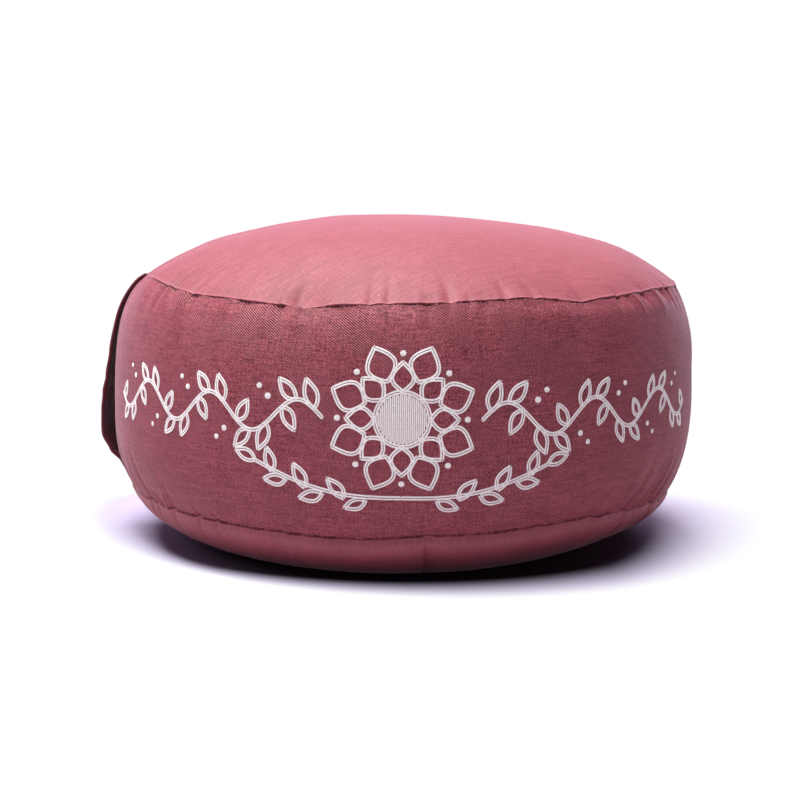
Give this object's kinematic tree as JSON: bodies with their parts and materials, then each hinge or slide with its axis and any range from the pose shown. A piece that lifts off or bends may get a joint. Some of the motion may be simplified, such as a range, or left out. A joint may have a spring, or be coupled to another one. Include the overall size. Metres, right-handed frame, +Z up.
{
  "type": "zafu meditation cushion",
  "caption": "Round husk-filled meditation cushion with a crowned top, swollen side band, flat-settled base and a fabric carrying strap down one side.",
  "frame": {"origin": "on the floor, under the middle of the cushion", "axes": "+Z up, the decorated front faces -Y, the carrying strap is on the -X side"},
  "size_m": [0.3387, 0.33, 0.185],
  "materials": {
    "cover_twill": "matt dusty rose cotton twill",
    "strap_twill": "matt dusty rose cotton twill, doubled",
    "silver_thread": "satin pale silver-grey embroidery thread"
  },
  "bodies": {
    "root": {"cushion": "cover_twill", "carry_handle": "strap_twill"}
  },
  "joints": []
}
